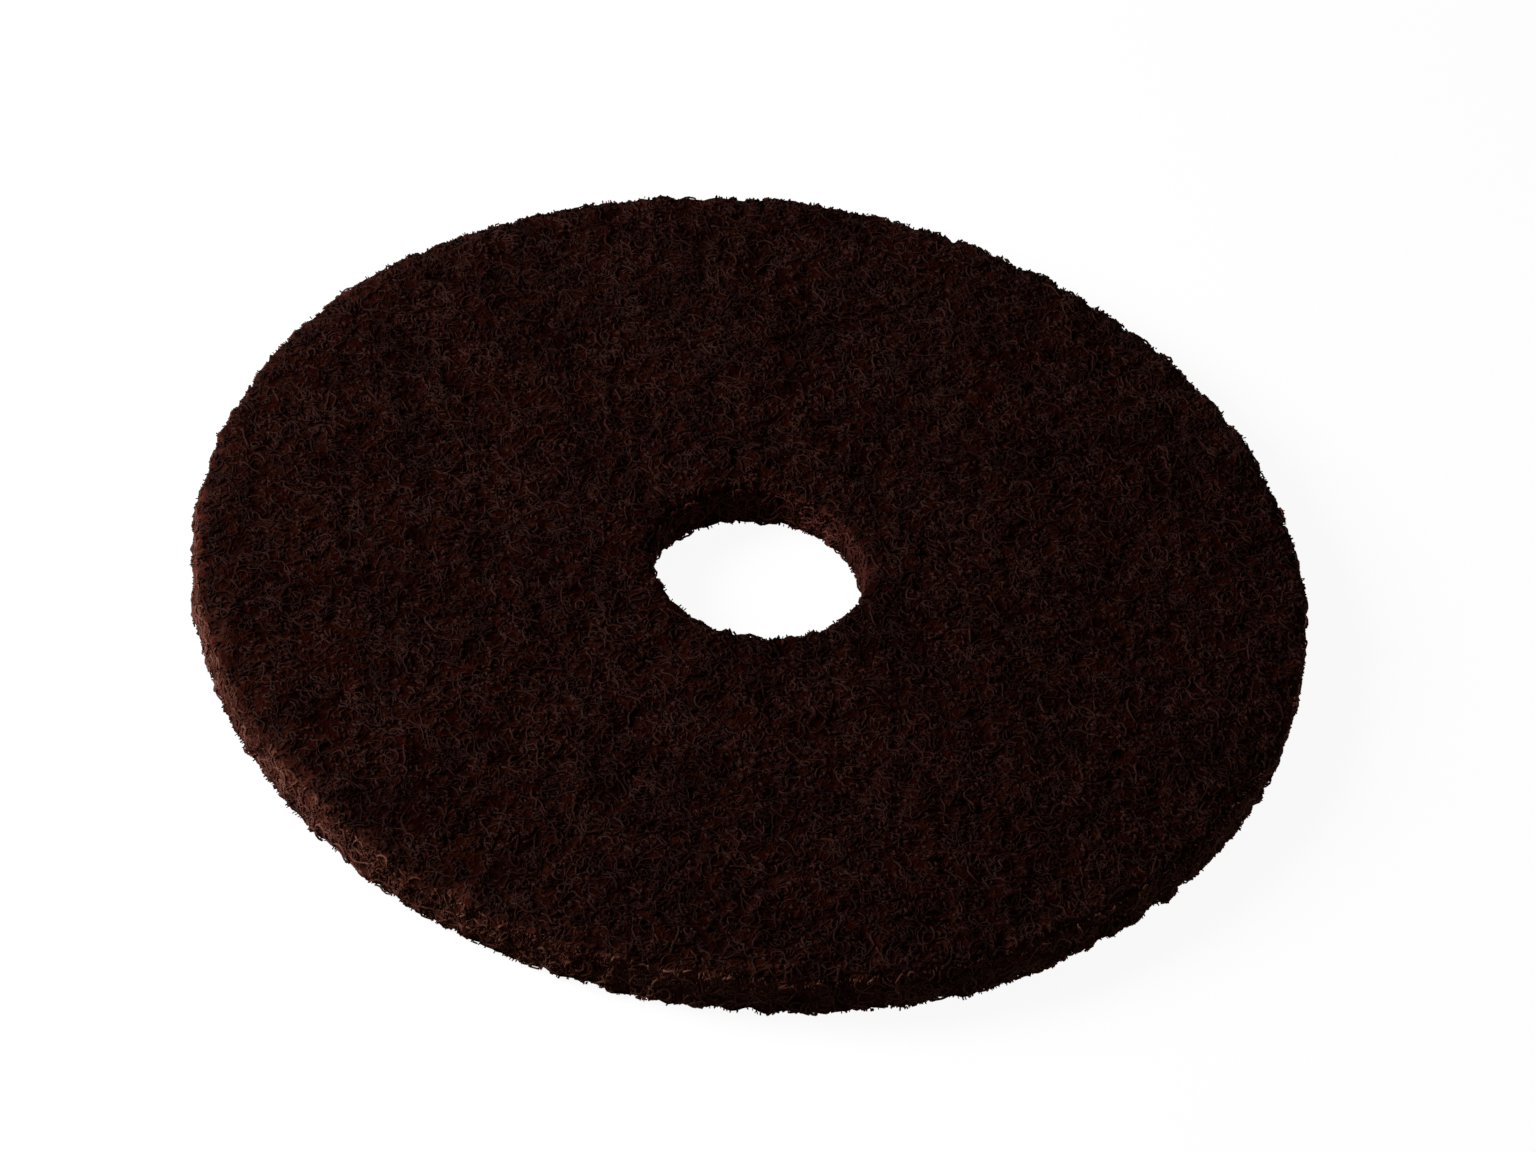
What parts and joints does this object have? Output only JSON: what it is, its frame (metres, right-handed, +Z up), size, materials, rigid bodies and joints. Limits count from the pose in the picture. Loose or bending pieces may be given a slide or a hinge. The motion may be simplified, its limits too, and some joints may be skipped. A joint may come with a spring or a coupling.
{
  "type": "floor polishing pad",
  "caption": "Round floor machine pad: a thick disc of dark brown non-woven fibre web with rounded edges and a round hole punched through its middle.",
  "frame": {"origin": "centre of the disc's outline, on the floor under its bottom face", "axes": "+Z up through the thickness, square to both flat faces; +X towards the side that the hole lies nearer to, which the picture shows on the right"},
  "size_m": [0.4323, 0.4321, 0.021],
  "materials": {
    "web": "matt open non-woven web of crimped synthetic fibres bound with a dark brown abrasive resin"
  },
  "bodies": {
    "root": {"pad": "web"}
  },
  "joints": []
}
